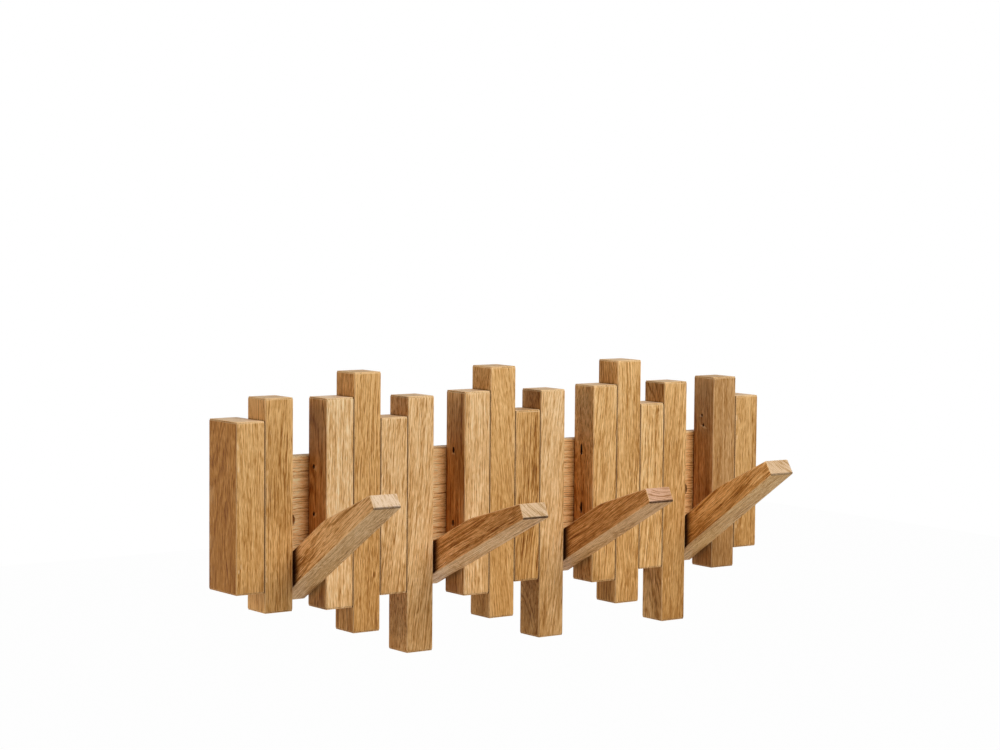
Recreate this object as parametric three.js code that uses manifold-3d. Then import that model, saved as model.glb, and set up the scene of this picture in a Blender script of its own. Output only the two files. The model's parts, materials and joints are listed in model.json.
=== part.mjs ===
// Wall coat rack: a row of square oak sticks of uneven heights on a backboard, where four of
// the sticks are hooks that fold out of the row on steel pins.
// Millimetres. X runs along the rack, Z is up, the wall is the plane Y = 0 and the rack faces -Y.
// The origin is the centre of the backboard's wall face. The hooks are shown folded out.
import * as THREE from 'three';
import { mergeVertices } from 'three/addons/utils/BufferGeometryUtils.js';
import Module from 'manifold-3d';

const wasm = await Module();
wasm.setup();

// Backboard
const boardThickness = 15;
const boardHeight = 98;
const boardEdgeRadius = 1;
const boardEndGap = 0.3;

// Fixed sticks
const stickWidth = 24.5;
const stickDepth = 26;
const stickGap = 0.5;
const longEdgeRadius = 0.9;
const endEdgeRadius = 0.8;

// How far each kind of stick reaches below and above the board's centre line
const stickKinds = {
  outer: { below: 65.7, above: 97.1 },
  even: { below: 67.6, above: 94.9 },
  high: { below: 88, above: 113.9 },
  short: { below: 60.4, above: 77.8 },
  low: { below: 108.3, above: 93.3 },
};
const endStickBelowBoard = 1;
const endStickAboveBoard = 31.3;

// How much higher than its kind a stick sits, by its place in the row
const stickLifts = { 15: 0.7, 17: 1.6 };

// Hooks: how far each folds out from upright, how far its tip and toe are from its pivot, and
// the thickness that it tapers to
const hooks = [
  { openDegrees: 57.5, reach: 133.4, toeDrop: 26.2, tipThickness: 11.5 },
  { openDegrees: 64.8, reach: 134.4, toeDrop: 31.8, tipThickness: 12.3 },
  { openDegrees: 62, reach: 128.1, toeDrop: 26.8, tipThickness: 12.4 },
  { openDegrees: 56, reach: 131.8, toeDrop: 21.2, tipThickness: 13.2 },
];
const hookWidth = 24;
const hookSideClearance = 2.875;
const hookBoardClearance = 2.3;
const hookStopClearance = 0.3;
const hookTaperStart = 68;
const hookTaperBendRadius = 60;
const hookCornerRadius = 1;
const hookSideEdgeRadius = 0.8;
const pivotAboveBoardFoot = 10.4;

// Pivot pins and the spacers that centre each hook in its slot
const pinRadius = 2.5;
const pinClearance = 0.3;
const pinEngagement = 10;
const pinChamfer = 0.5;
const spacerRadius = 6;
const spacerPlay = 0.15;

// Countersunk screws on the board's centre line, one into the back of each inner stick
const screwShankRadius = 2;
const screwHeadRadius = 3.8;
const screwHeadHeight = 2.4;
const screwHeadRecess = 0.5;
const screwBite = 15;
const screwPointLength = 3;
const screwClearance = 0.3;

// Dowels between the board's ends and the deep end sticks
const dowelRadius = 4;
const dowelInStick = 12;
const dowelInBoard = 18;
const dowelEdgeInset = 10;
const dowelClearance = 0.3;
const dowelChamfer = 1;

// Stepped holes for the two wall screws, in the outer hook slots
const wallHoleRadius = 3.25;
const wallHoleRecessRadius = 5.6;
const wallHoleRecessDepth = 8;
const wallHoleRimRadius = 1.2;
const wallHoleOffCentre = 3;

// How far a cutting tool runs past the face it cuts, and how near two points are the same point
const cutMargin = 1;
const mergeDistance = 1e-4;

// Facets
const edgeSteps = 2;
const hookArcSteps = 4;
const wallHoleSteps = 3;
const pinSides = 14;
const screwSides = 10;
const wallHoleSides = 24;

// The pieces of the row from left to right
const group = ['even', 'high', 'short', 'low'];
const row = ['end', 'outer', 'hook', ...group, 'hook', ...group, 'hook', ...group, 'hook', 'outer', 'end'];

// Sizes that follow from those above
const boardFront = -boardThickness;
const boardTop = boardHeight / 2;
const boardFoot = -boardHeight / 2;
const hookThickness = stickDepth - hookBoardClearance;
const heelRadius = hookThickness / 2;
const pivotY = boardFront - hookBoardClearance - heelRadius;
const pivotZ = boardFoot + pivotAboveBoardFoot;
const spacerThickness = hookSideClearance - 2 * spacerPlay;
const dowelRows = [
  { level: 'lower', z: boardFoot + dowelEdgeInset },
  { level: 'upper', z: boardTop - dowelEdgeInset },
];

function layOutRow() {
  const places = [];
  let edge = 0;
  row.forEach((kind, index) => {
    const before = row[index - 1];
    const byHook = kind === 'hook' || before === 'hook';
    const width = kind === 'hook' ? hookWidth : stickWidth;
    if (index > 0) {
      edge += byHook ? hookSideClearance : stickGap;
    }
    places.push({ kind, index, x: edge + width / 2 });
    edge += width;
  });
  return places.map(({ kind, index, x }) => ({
    kind,
    index,
    lift: stickLifts[index + 1] ?? 0,
    x: x - edge / 2,
    hookOnLeft: row[index - 1] === 'hook',
    hookOnRight: row[index + 1] === 'hook',
  }));
}

const places = layOutRow();
const hookPlaces = places.filter((place) => place.kind === 'hook');
const screwedPlaces = places.filter((place) => place.kind in stickKinds);
const boardHalfLength = places.at(-1).x - stickWidth / 2 - boardEndGap;

// A closed geometry as a manifold solid, and back
function toSolid(geometry) {
  const plain = geometry.index ? geometry.toNonIndexed() : geometry.clone();
  plain.deleteAttribute('normal');
  plain.deleteAttribute('uv');
  const merged = mergeVertices(plain, mergeDistance);
  const index = merged.index.array;
  const kept = [];
  for (let i = 0; i < index.length; i += 3) {
    const [a, b, c] = [index[i], index[i + 1], index[i + 2]];
    if (a !== b && b !== c && c !== a) {
      kept.push(a, b, c);
    }
  }
  return new wasm.Manifold(new wasm.Mesh({
    numProp: 3,
    vertProperties: new Float32Array(merged.attributes.position.array),
    triVerts: new Uint32Array(kept),
  }));
}

function toGeometry(solid) {
  const mesh = solid.getMesh();
  const geometry = new THREE.BufferGeometry();
  geometry.setAttribute('position', new THREE.BufferAttribute(mesh.vertProperties, 3));
  geometry.setIndex(new THREE.BufferAttribute(mesh.triVerts, 1));
  geometry.computeVertexNormals();
  return geometry;
}

function cut(geometry, tools) {
  let solid = toSolid(geometry);
  for (const tool of tools) {
    solid = solid.subtract(toSolid(tool));
  }
  return toGeometry(solid);
}

// A shape through the corners, in order, with each corner rounded to its own radius
function filletedShape(corners) {
  const shape = new THREE.Shape();
  corners.forEach(({ x, y, radius }, index) => {
    const corner = new THREE.Vector2(x, y);
    const before = corners.at(index - 1);
    const after = corners[(index + 1) % corners.length];
    const back = new THREE.Vector2(before.x, before.y).sub(corner).normalize();
    const ahead = new THREE.Vector2(after.x, after.y).sub(corner).normalize();
    const halfAngle = Math.acos(back.dot(ahead)) / 2;
    const reach = radius / Math.tan(halfAngle);
    const start = corner.clone().addScaledVector(back, reach);
    const end = corner.clone().addScaledVector(ahead, reach);
    const inward = back.clone().add(ahead).normalize();
    const centre = corner.clone().addScaledVector(inward, radius / Math.sin(halfAngle));
    const clockwise = back.cross(ahead) > 0;
    if (index === 0) {
      shape.moveTo(start.x, start.y);
    } else {
      shape.lineTo(start.x, start.y);
    }
    if (radius > 0) {
      const from = start.clone().sub(centre).angle();
      const to = end.clone().sub(centre).angle();
      shape.absarc(centre.x, centre.y, radius, from, to, clockwise);
    }
  });
  return shape;
}

function rectangle(x0, y0, x1, y1, radius) {
  return filletedShape([
    { x: x0, y: y0, radius },
    { x: x1, y: y0, radius },
    { x: x1, y: y1, radius },
    { x: x0, y: y1, radius },
  ]);
}

// An outline pushed along +Z to the given length, with its two end faces' edges rounded.
// A shape draws each of its arcs with twice the curve segments that it is given.
function roundedBar(shape, length, edgeRadius, arcSteps) {
  const geometry = new THREE.ExtrudeGeometry(shape, {
    depth: length - 2 * edgeRadius,
    bevelThickness: edgeRadius,
    bevelSize: edgeRadius,
    bevelOffset: -edgeRadius,
    bevelSegments: edgeSteps,
    curveSegments: arcSteps / 2,
  });
  return geometry.translate(0, 0, edgeRadius);
}

// Turns a bar drawn in the depth and height plane so that its length runs along X
function layAlongX(geometry) {
  const alongY = new THREE.Vector3(0, 1, 0);
  const alongZ = new THREE.Vector3(0, 0, 1);
  const alongX = new THREE.Vector3(1, 0, 0);
  return geometry.applyMatrix4(new THREE.Matrix4().makeBasis(alongY, alongZ, alongX));
}

// A solid turned about the Y axis, from [radius, y] points that start and end on the axis
function turned(profile, sides) {
  return new THREE.LatheGeometry(profile.map(([radius, y]) => new THREE.Vector2(radius, y)), sides);
}

function cylinderAlongX(radius, length, sides, chamfer = 0) {
  const half = length / 2;
  const profile = [[0, -half], [radius - chamfer, -half]];
  if (chamfer > 0) {
    profile.push([radius, -half + chamfer], [radius, half - chamfer]);
  }
  profile.push([radius - chamfer, half], [0, half]);
  return turned(profile, sides).rotateZ(-Math.PI / 2);
}

// The countersunk screw's own outline, or with a clearance the hole that it sits in
function screwProfile(clearance) {
  const head = -screwHeadRecess + clearance;
  const neck = -screwHeadRecess - screwHeadHeight;
  const point = boardFront - screwBite - clearance;
  const shank = screwShankRadius + clearance;
  return [
    [0, point],
    [shank, point + screwPointLength],
    [shank, neck],
    [screwHeadRadius + clearance, head],
    [0, head],
  ];
}

function screwHole() {
  const profile = screwProfile(screwClearance);
  const mouth = screwHeadRadius + screwClearance;
  profile.splice(-1, 1, [mouth, cutMargin], [0, cutMargin]);
  return turned(profile, screwSides);
}

function dowelAt(side, z, clearance) {
  const inner = boardHalfLength - dowelInBoard - clearance;
  const outer = boardHalfLength + boardEndGap + dowelInStick + clearance;
  const middle = side * (inner + outer) / 2;
  const chamfer = clearance > 0 ? 0 : dowelChamfer;
  const dowel = cylinderAlongX(dowelRadius + clearance, outer - inner, pinSides, chamfer);
  return dowel.translate(middle, -boardThickness / 2, z);
}

// A wall screw's hole: a rounded rim, a recess for the head and a narrower hole to the wall
function wallHole(x) {
  const rim = [];
  for (let step = 0; step <= wallHoleSteps; step += 1) {
    const angle = (step / wallHoleSteps) * Math.PI / 2;
    const radius = wallHoleRecessRadius + wallHoleRimRadius * (1 - Math.cos(angle));
    rim.push([radius, boardFront + wallHoleRimRadius * (1 - Math.sin(angle))]);
  }
  const shoulder = boardFront + wallHoleRecessDepth;
  const outside = boardFront - cutMargin;
  const profile = [
    [0, outside],
    [rim.at(-1)[0], outside],
    ...rim.reverse(),
    [wallHoleRecessRadius, shoulder],
    [wallHoleRadius, shoulder],
    [wallHoleRadius, cutMargin],
    [0, cutMargin],
  ];
  return turned(profile, wallHoleSides).translate(x, 0, 0);
}

function makeBoard() {
  const outline = rectangle(boardFront, boardFoot, 0, boardTop, boardEdgeRadius);
  const length = 2 * boardHalfLength;
  const bar = layAlongX(roundedBar(outline, length, endEdgeRadius, edgeSteps));
  bar.translate(-boardHalfLength, 0, 0);
  const tools = screwedPlaces.map((place) => screwHole().translate(place.x, 0, 0));
  for (const side of [-1, 1]) {
    tools.push(...dowelRows.map(({ z }) => dowelAt(side, z, dowelClearance)));
  }
  tools.push(wallHole(hookPlaces[0].x - wallHoleOffCentre));
  tools.push(wallHole(hookPlaces.at(-1).x + wallHoleOffCentre));
  return cut(bar, tools);
}

// The blind hole that holds one end of a pivot pin, in the side of a stick that faces a hook
function pinSocket(place, side) {
  const depth = pinEngagement + pinClearance;
  const socket = cylinderAlongX(pinRadius + pinClearance, depth + cutMargin, pinSides);
  const middle = place.x + side * (stickWidth / 2 - (depth - cutMargin) / 2);
  return socket.translate(middle, pivotY, pivotZ);
}

function makeStick(place) {
  const { below, above } = stickKinds[place.kind];
  const half = stickWidth / 2;
  const front = boardFront - stickDepth;
  const outline = rectangle(place.x - half, front, place.x + half, boardFront, longEdgeRadius);
  const bar = roundedBar(outline, below + above, endEdgeRadius, edgeSteps);
  bar.translate(0, 0, place.lift - below);
  const tools = [screwHole().translate(place.x, 0, 0)];
  if (place.hookOnLeft) {
    tools.push(pinSocket(place, -1));
  }
  if (place.hookOnRight) {
    tools.push(pinSocket(place, 1));
  }
  return cut(bar, tools);
}

function makeEndStick(place) {
  const half = stickWidth / 2;
  const front = boardFront - stickDepth;
  const foot = boardFoot - endStickBelowBoard;
  const height = boardTop + endStickAboveBoard - foot;
  const outline = rectangle(place.x - half, front, place.x + half, 0, longEdgeRadius);
  const bar = roundedBar(outline, height, endEdgeRadius, edgeSteps).translate(0, 0, foot);
  const side = Math.sign(place.x);
  return cut(bar, dowelRows.map(({ z }) => dowelAt(side, z, dowelClearance)));
}

// The hole for a pivot pin right through a piece of the given width
function pinHole(width) {
  return cylinderAlongX(pinRadius + pinClearance, width + 2 * cutMargin, pinSides);
}

// The bevel across a hook's foot, as a line in the frame of the hook folded shut. Once the hook
// is open the line clears the board's rounded lower edge and never leans into the board's face.
function footBevel(openAngle, toeDrop) {
  const centre = new THREE.Vector2();
  const edge = new THREE.Vector2(boardFront - pivotY, boardFoot - pivotZ);
  edge.addScalar(boardEdgeRadius).rotateAround(centre, -openAngle);
  const clearance = boardEdgeRadius + hookStopClearance;
  const fromToe = edge.clone().sub(new THREE.Vector2(-heelRadius, -toeDrop));
  const throughToe = fromToe.angle() + Math.asin(clearance / fromToe.length());
  const slope = Math.max(throughToe, Math.PI / 2 - openAngle);
  const outward = slope - Math.PI / 2;
  const normal = new THREE.Vector2(Math.cos(outward), Math.sin(outward));
  return { outward, distance: edge.dot(normal) - clearance };
}

// The heel, where the hook's back meets the bevel. It is rounded from the pivot's height down,
// so it stays clear of the board as the hook turns.
function heelCorner({ outward, distance }) {
  const y = (distance - heelRadius * Math.cos(outward)) / Math.sin(outward);
  const radius = Math.max(hookCornerRadius, y / Math.tan(outward / 2));
  return { x: heelRadius, y, radius };
}

// A hook as it stands folded shut, about its pivot: straight in front, tapered behind towards
// the tip, and bevelled at the foot.
function makeHook({ openDegrees, reach, toeDrop, tipThickness }) {
  const bevel = footBevel(THREE.MathUtils.degToRad(openDegrees), toeDrop);
  const toe = (bevel.distance + heelRadius * Math.cos(bevel.outward)) / Math.sin(bevel.outward);
  const outline = filletedShape([
    heelCorner(bevel),
    { x: heelRadius, y: hookTaperStart, radius: hookTaperBendRadius },
    { x: tipThickness - heelRadius, y: reach, radius: hookCornerRadius },
    { x: -heelRadius, y: reach, radius: hookCornerRadius },
    { x: -heelRadius, y: toe, radius: hookCornerRadius },
  ]);
  const bar = layAlongX(roundedBar(outline, hookWidth, hookSideEdgeRadius, hookArcSteps));
  bar.translate(-hookWidth / 2, 0, 0);
  return cut(bar, [pinHole(hookWidth)]);
}

function makePin() {
  const length = hookWidth + 2 * (hookSideClearance + pinEngagement);
  return cylinderAlongX(pinRadius, length, pinSides, pinChamfer);
}

function makeSpacer() {
  const ring = cylinderAlongX(spacerRadius, spacerThickness, pinSides);
  return cut(ring, [pinHole(spacerThickness)]);
}

function makeScrew() {
  return turned(screwProfile(0), screwSides);
}

const finishes = {
  boardOak: { color: 0xd2a577, roughness: 0.62, metalness: 0 },
  stickOak: { color: 0xc5935a, roughness: 0.55, metalness: 0 },
  hookOak: { color: 0xb27c47, roughness: 0.55, metalness: 0 },
  beech: { color: 0xd9b88c, roughness: 0.7, metalness: 0 },
  steel: { color: 0xb4b7ba, roughness: 0.32, metalness: 1 },
  zinc: { color: 0xc9c3a8, roughness: 0.38, metalness: 1 },
  nylon: { color: 0x2a2725, roughness: 0.6, metalness: 0 },
};

const rack = new THREE.Group();

function addPiece(parent, name, geometry, finish) {
  const mesh = new THREE.Mesh(geometry, new THREE.MeshStandardMaterial(finishes[finish]));
  mesh.name = name;
  parent.add(mesh);
  return mesh;
}

addPiece(rack, 'backboard', makeBoard(), 'boardOak');

for (const place of places) {
  const number = String(place.index + 1).padStart(2, '0');
  if (place.kind === 'end') {
    const side = place.x < 0 ? 'left' : 'right';
    addPiece(rack, `end_stick_${side}`, makeEndStick(place), 'stickOak');
    for (const { level, z } of dowelRows) {
      addPiece(rack, `dowel_${side}_${level}`, dowelAt(Math.sign(place.x), z, 0), 'beech');
    }
  } else if (place.kind in stickKinds) {
    addPiece(rack, `stick_${number}`, makeStick(place), 'stickOak');
    addPiece(rack, `screw_${number}`, makeScrew(), 'zinc').position.x = place.x;
  }
}

hookPlaces.forEach((place, index) => {
  const number = index + 1;
  const pivot = new THREE.Group();
  pivot.position.set(place.x, pivotY, pivotZ);
  rack.add(pivot);

  const hook = addPiece(pivot, `hook_${number}`, makeHook(hooks[index]), 'hookOak');
  hook.rotation.x = THREE.MathUtils.degToRad(hooks[index].openDegrees);

  addPiece(pivot, `pivot_pin_${number}`, makePin(), 'steel');
  const spacerOffset = hookWidth / 2 + hookSideClearance / 2;
  for (const [side, sign] of [['left', -1], ['right', 1]]) {
    const spacer = addPiece(pivot, `spacer_${number}_${side}`, makeSpacer(), 'nylon');
    spacer.position.x = sign * spacerOffset;
  }
});

export default rack;
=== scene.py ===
"""Dresses the wall coat rack: oiled oak sticks, folding hooks, backboard and their fixings.

Metres. X runs along the row, Z is up, the wall is the plane Y = 0 and the rack faces -Y. The part
names its own sizes in millimetres, so the classes here hold millimetres and MM turns them into metres.
"""

from dataclasses import dataclass, field, replace
from enum import Enum
import json
import logging
import math

import bmesh
import bpy
from mathutils import Euler, Matrix, Vector

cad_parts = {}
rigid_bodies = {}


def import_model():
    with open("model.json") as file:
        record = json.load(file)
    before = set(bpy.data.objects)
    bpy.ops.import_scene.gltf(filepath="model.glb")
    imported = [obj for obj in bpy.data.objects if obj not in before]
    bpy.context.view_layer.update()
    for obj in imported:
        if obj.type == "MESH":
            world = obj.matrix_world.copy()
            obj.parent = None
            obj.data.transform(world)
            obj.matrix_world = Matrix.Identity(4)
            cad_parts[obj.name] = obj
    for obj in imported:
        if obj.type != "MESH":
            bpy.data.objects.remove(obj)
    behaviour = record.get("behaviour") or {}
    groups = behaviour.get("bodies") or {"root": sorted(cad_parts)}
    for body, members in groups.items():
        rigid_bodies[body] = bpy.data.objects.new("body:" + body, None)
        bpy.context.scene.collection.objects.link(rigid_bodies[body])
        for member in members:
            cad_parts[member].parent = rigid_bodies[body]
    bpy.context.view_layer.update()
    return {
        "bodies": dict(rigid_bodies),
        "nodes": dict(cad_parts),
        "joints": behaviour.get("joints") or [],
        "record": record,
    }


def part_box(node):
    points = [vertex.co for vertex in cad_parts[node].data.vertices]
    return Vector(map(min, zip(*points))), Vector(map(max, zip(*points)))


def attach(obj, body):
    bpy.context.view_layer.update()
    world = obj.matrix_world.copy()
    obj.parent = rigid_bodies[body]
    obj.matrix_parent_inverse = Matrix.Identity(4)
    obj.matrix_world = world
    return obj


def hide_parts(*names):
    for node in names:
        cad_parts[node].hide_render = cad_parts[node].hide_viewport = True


LOG = logging.getLogger("coat_rack")
MM = 0.001
# A mask of worn edges, paler from wear and from a painted highlight.
WORN_EDGE = "worn_edge"
END_GRAIN = "end_grain"
ORIGIN = (0.0, 0.0, 0.0)
SAME_PLACE = 0.001 * MM

# The depths of stain at the two ends of a colour ramp.
PALEST = -4.0
DEEPEST = 8.0

Colour = tuple[float, float, float]
Point = tuple[float, float, float]
Profile = list[tuple[float, float]]


def shade(red: int, green: int, blue: int) -> Colour:
    """Turns a colour as a screen shows it, from 0 to 255, into linear light.

    Args:
        red: The screen's red.
        green: The screen's green.
        blue: The screen's blue.

    Returns:
        The colour in linear light, each part from 0 to 1.
    """
    def linear(level: int) -> float:
        """Gives one channel in linear light."""
        share = level / 255
        return share / 12.92 if share <= 0.04045 else ((share + 0.055) / 1.055) ** 2.4
    return linear(red), linear(green), linear(blue)


@dataclass(frozen=True)
class Wire:
    """A socket's value in an expression. Each operator adds the Math node that works it out."""

    graph: "Graph"
    socket: bpy.types.NodeSocket

    def beside(self, output: str | int) -> "Wire":
        """Gives another output of the node that this value comes from."""
        return Wire(self.graph, self.socket.node.outputs[output])

    def math(self, operation: str, *others: "Wire | float") -> "Wire":
        """Adds a Math node whose first value is this one.

        Args:
            operation: The node's operation.
            others: The values that follow this one.

        Returns:
            The node's result.
        """
        values = dict(enumerate((self, *others)))
        return self.graph.node("ShaderNodeMath", {"operation": operation}, values)

    def _after(self, operation: str, first: "Wire | float") -> "Wire":
        """Adds a Math node whose second value is this one."""
        return self.graph.node("ShaderNodeMath", {"operation": operation}, {0: first, 1: self})

    def __add__(self, other: "Wire | float") -> "Wire":
        """Adds."""
        return self.math("ADD", other)

    __radd__ = __add__

    def __mul__(self, other: "Wire | float") -> "Wire":
        """Multiplies."""
        return self.math("MULTIPLY", other)

    __rmul__ = __mul__

    def __sub__(self, other: "Wire | float") -> "Wire":
        """Subtracts the other value from this one."""
        return self.math("SUBTRACT", other)

    def __rsub__(self, other: float) -> "Wire":
        """Subtracts this value from a number."""
        return self._after("SUBTRACT", other)

    def __truediv__(self, other: "Wire | float") -> "Wire":
        """Divides this value by the other one."""
        return self.math("DIVIDE", other)

    def __rtruediv__(self, other: float) -> "Wire":
        """Divides a number by this value."""
        return self._after("DIVIDE", other)

    def __abs__(self) -> "Wire":
        """Drops the sign."""
        return self.math("ABSOLUTE")

    def least(self, other: "Wire | float") -> "Wire":
        """Gives the smaller of the two values."""
        return self.math("MINIMUM", other)

    def most(self, other: "Wire | float") -> "Wire":
        """Gives the larger of the two values."""
        return self.math("MAXIMUM", other)

    def rise(self, low: float, high: float) -> "Wire":
        """Goes smoothly from 0 to 1 as this value goes from low to high.

        Args:
            low: Where the rise starts.
            high: Where it ends.

        Returns:
            The smooth step.
        """
        settings = {"interpolation_type": "SMOOTHSTEP"}
        return self.graph.node("ShaderNodeMapRange", settings, {0: self, 1: low, 2: high})

    def fall(self, low: float, high: float) -> "Wire":
        """Goes smoothly from 1 to 0 as this value goes from low to high."""
        return 1 - self.rise(low, high)


class Graph:
    """A node tree that is filled by typed calls."""

    def __init__(self, tree: bpy.types.NodeTree) -> None:
        """Starts on a tree, whose nodes are cleared."""
        self.tree = tree
        tree.nodes.clear()

    def node(
        self,
        kind: str,
        settings: dict[str, object] | None = None,
        values: dict[str | int, object] | None = None,
        output: str | int = 0,
    ) -> Wire | None:
        """Adds a node, sets it up and fills its sockets.

        Args:
            kind: The node's type.
            settings: The node's own settings, set first. "stops" holds a colour ramp's stops.
            values: A number, colour, name or Wire for each socket, by its name or number.
            output: The output to hand back, by its name or number.

        Returns:
            The chosen output, or None for a node that has none.
        """
        node = self.tree.nodes.new(kind)
        for name, setting in (settings or {}).items():
            if name == "stops":
                ramp = node.color_ramp
                while len(ramp.elements) < len(setting):
                    ramp.elements.new(1.0)
                for element, (position, colour) in zip(ramp.elements, setting):
                    element.position = position
                    element.color = (*colour, 1.0)
            else:
                setattr(node, name, setting)
        for name, value in (values or {}).items():
            socket = node.inputs[name]
            if isinstance(value, Wire):
                self.tree.links.new(value.socket, socket)
            elif socket.type == "RGBA" and len(value) == 3:
                socket.default_value = (*value, 1.0)
            else:
                socket.default_value = value
        return Wire(self, node.outputs[output]) if len(node.outputs) else None

    def vector(self, operation: str, *values: Wire | Point | float) -> Wire:
        """Adds a Vector Math node.

        Args:
            operation: The node's operation.
            values: The node's vectors, in order.

        Returns:
            The node's vector.
        """
        return self.node("ShaderNodeVectorMath", {"operation": operation}, dict(enumerate(values)))

    def split(self, vector: Wire) -> tuple[Wire, Wire, Wire]:
        """Gives a vector's three parts."""
        first = self.node("ShaderNodeSeparateXYZ", None, {0: vector})
        return first, first.beside(1), first.beside(2)

    def join(self, x: Wire | float, y: Wire | float, z: Wire | float) -> Wire:
        """Makes a vector from three parts."""
        return self.node("ShaderNodeCombineXYZ", None, {0: x, 1: y, 2: z})

    def blend(self, share: Wire | float, first: Wire | Colour, second: Wire | Colour) -> Wire:
        """Mixes two colours.

        Args:
            share: How much of the second colour there is.
            first: The colour where the share is 0.
            second: The colour where the share is 1.

        Returns:
            The mixed colour.
        """
        return self.node("ShaderNodeMix", {"data_type": "RGBA"}, {0: share, 6: first, 7: second}, 2)

    def stretched(self, vector: Wire, scale: Point) -> Wire:
        """Multiplies each part of a vector by its own number."""
        return self.vector("MULTIPLY", vector, scale)

    def scaled(self, vector: Wire, factor: Wire | float) -> Wire:
        """Multiplies a vector by one value."""
        return self.node("ShaderNodeVectorMath", {"operation": "SCALE"}, {0: vector, "Scale": factor})

    def noise(self, place: Wire, detail: float = 2.0, output: str = "Fac") -> Wire:
        """Adds smooth noise whose grains are about one unit of place across."""
        values = {"Vector": place, "Scale": 1.0, "Detail": detail}
        return self.node("ShaderNodeTexNoise", None, values, output)

    def spread(self, place: Wire) -> Wire:
        """Adds smooth noise about 0, whose values mostly lie between -1 and 1."""
        return (self.noise(place, 1.0) - 0.5) * 4.0

    def cells(self, place: Wire) -> Wire:
        """Adds scattered cells, one to each unit of place, and gives how far their middles are."""
        return self.node("ShaderNodeTexVoronoi", None, {"Vector": place, "Scale": 1.0}, "Distance")

    def reach(self, first: Wire, second: Wire) -> Wire:
        """Gives the distance from a point, from the distances along two axes."""
        return (first * first + second * second).math("SQRT")


class MaterialTree(Graph):
    """A material and its node tree."""

    def __init__(self, name: str) -> None:
        """Makes an empty material.

        Args:
            name: The material's name.
        """
        self.material = bpy.data.materials.new(name)
        self.material.use_nodes = True
        super().__init__(self.material.node_tree)

    def place(self) -> Wire:
        """Gives the place on the piece, in metres."""
        return self.node("ShaderNodeTexCoord", None, None, "Object")

    def attribute(self, name: str) -> Wire:
        """Gives a number that the piece's mesh carries."""
        return self.node("ShaderNodeAttribute", {"attribute_name": name}, None, "Fac")

    def bump(self, strength: float, distance: float, height: Wire) -> Wire:
        """Gives the normal of a relief, whose height of 1 stands for the distance in millimetres."""
        values = {"Strength": strength, "Distance": distance * MM, "Height": height}
        return self.node("ShaderNodeBump", None, values)

    def dress(self, values: dict[str, object]) -> bpy.types.Material:
        """Ends the material with a physical surface, given a value for each of its sockets."""
        return self.end(self.node("ShaderNodeBsdfPrincipled", None, values))

    def end(self, surface: Wire) -> bpy.types.Material:
        """Ends the material with a shader, and hands it back."""
        self.node("ShaderNodeOutputMaterial", None, {"Surface": surface})
        return self.material


# What one step of stain takes from red, green and blue, and the most that any of them can be.
STAIN_TAKES = (0.158, 0.225, 0.360)
WHITEST = 0.95
# The dark brown of painted shade in crevices, gaps and hole walls, also used for the dark arris line.
CREVICE = shade(50, 22, 6)
# The pale of rubbed edges and dents; on the edges it also paints a highlight.
RUBBED = shade(240, 202, 151)
# A warm tint of painted bounced light, for the side faces and the feet.
TOASTED = (1.13, 1.02, 0.9)


class Tone(Enum):
    """The mean shades of the oak in the rack."""

    HONEY = shade(197, 146, 82)
    STRAW = shade(206, 158, 98)
    TAWNY = shade(174, 126, 71)
    RUSSET = shade(197, 146, 88)
    FAWN = shade(190, 143, 85)
    ROSY = shade(221, 161, 94)
    CREAM = shade(207, 171, 128)
    BLUSH = shade(196, 149, 112)

    def stained(self, depth: float) -> Colour:
        """Gives the shade under a stain, which takes the blue first and then the green.

        Args:
            depth: How deep the stain is. Below 0 the wood is paler than its mean shade.

        Returns:
            The stained shade.
        """
        parts = [part * math.exp(-loss * depth) for part, loss in zip(self.value, STAIN_TAKES)]
        excess = math.sqrt(max(max(parts) / WHITEST, 1.0))
        return tuple(min(part / excess, WHITEST) for part in parts)

    def ramp(self, offset: float) -> list[tuple[float, Colour]]:
        """Gives a colour ramp from the palest to the deepest stain.

        Args:
            offset: How much deeper than its mean the whole piece is.

        Returns:
            The ramp's stops, for a depth of PALEST at 0 to DEEPEST at 1.
        """
        steps = range(int(DEEPEST - PALEST) + 1)
        return [(step / (DEEPEST - PALEST), self.stained(PALEST + step + offset)) for step in steps]


class Sawn(Enum):
    """How a piece was sawn from its log, by the pith's place from its middle, in millimetres."""

    QUARTERED = (170.0, 22.0)
    RIFT = (95.0, 80.0)
    FLAT = (11.0, 62.0)
    SIDE_FLAT = (62.0, 9.0)


class Mark(Enum):
    """The marks in oak, by how many fit in a millimetre across, through and along the piece."""

    SWELL = (0.02, 0.02, 0.009)
    CLOUD = (0.06, 0.06, 0.014)
    DENT = (0.4, 0.3, 0.13)
    PATCH = (0.4, 0.4, 0.4)
    DRAWN = (0.75, 0.75, 0.006)
    VEIN = (1.1, 1.1, 0.017)
    BREAK = (1.1, 1.1, 0.09)
    VESSEL = (1.1, 1.1, 0.11)
    FIBRE = (1.8, 1.8, 0.18)
    FINE_VESSEL = (2.0, 2.0, 0.16)
    THREAD = (2.2, 2.2, 0.036)


@dataclass(frozen=True)
class Timber:
    """Where a piece of wood lies: its middle, and its turn from upright."""

    middle: Vector
    turn: Euler

    @property
    def grain(self) -> Vector:
        """Gives the direction of the grain."""
        return self.turn.to_matrix() @ Vector((0.0, 0.0, 1.0))


@dataclass(frozen=True)
class Knot:
    """A small knot on a front face: its place across and along the piece, and its radius."""

    across: float
    along: float
    radius: float


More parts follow.
